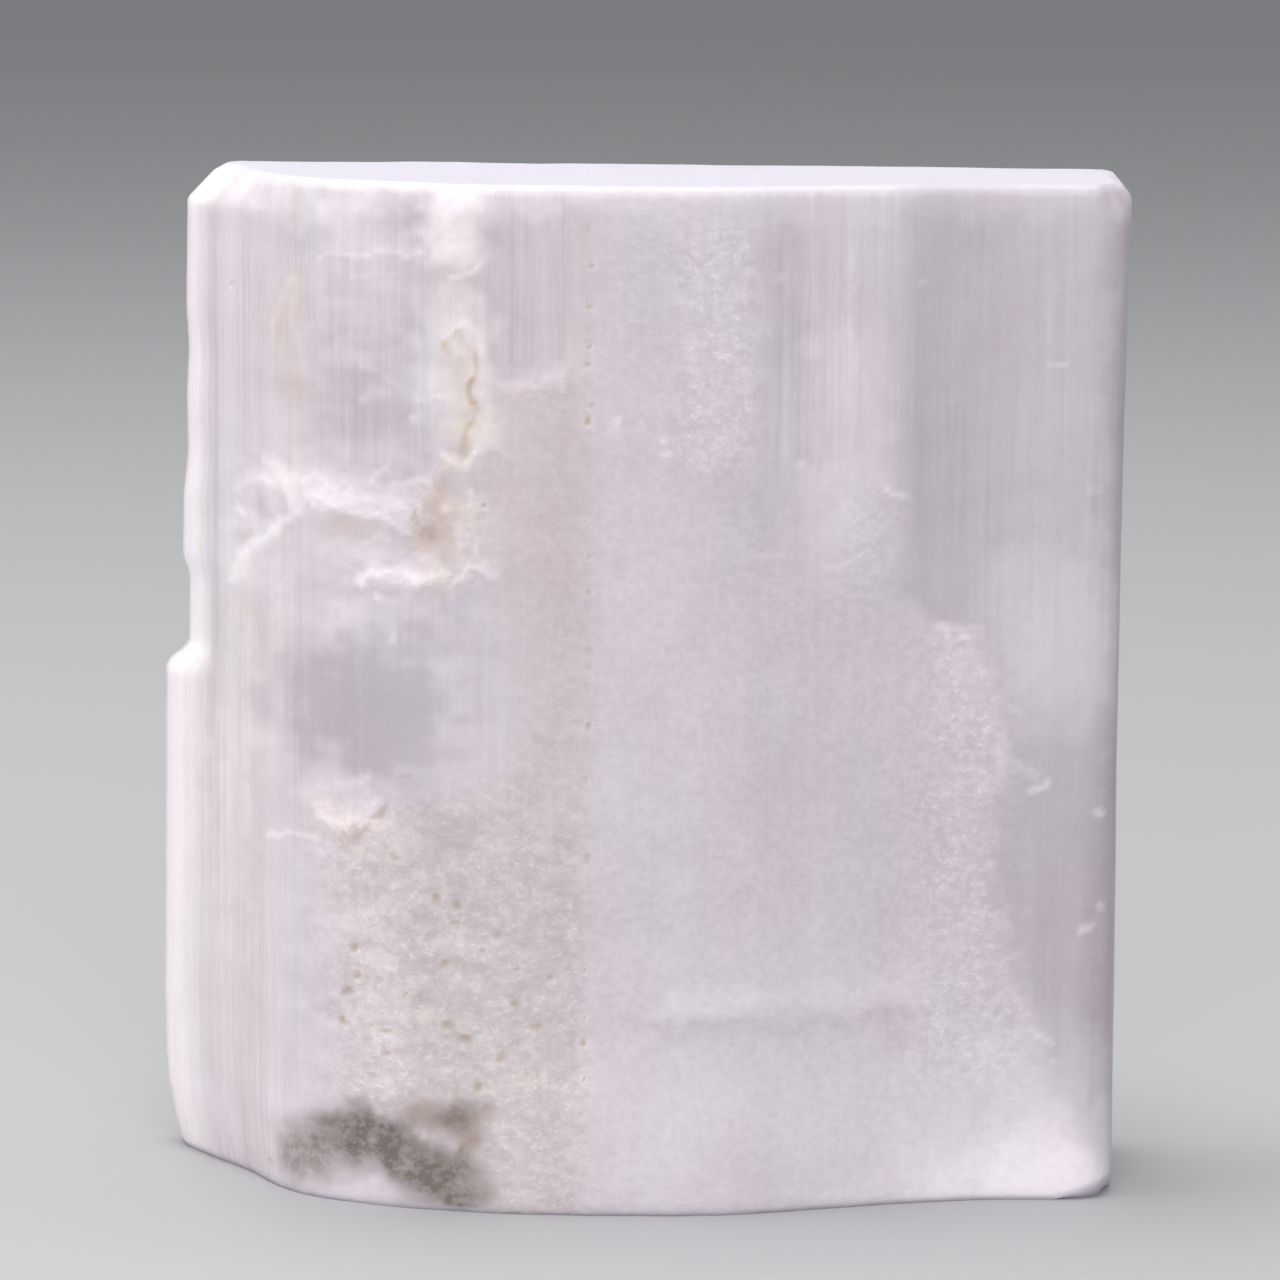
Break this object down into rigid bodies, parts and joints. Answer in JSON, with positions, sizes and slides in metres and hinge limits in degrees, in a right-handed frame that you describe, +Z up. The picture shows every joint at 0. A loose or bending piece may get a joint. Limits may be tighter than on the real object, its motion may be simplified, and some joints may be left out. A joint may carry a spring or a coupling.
{
  "type": "selenite crystal blade",
  "caption": "Short upright block of fibrous satin-spar selenite, sawn flat at both ends, with a bulging, flaked front and broken ledges.",
  "frame": {"origin": "centre of the bounding box at the sawn base that the crystal stands on", "axes": "+Z up along the fibres, -Y out of the bulging flaked front, +X to that front's right as it is looked at"},
  "size_m": [0.0498, 0.0198, 0.052],
  "materials": {
    "selenite": "silky, semi-clear fibrous white with tan iron-stained rind"
  },
  "bodies": {
    "root": {"crystal_blade": "selenite"}
  },
  "joints": []
}
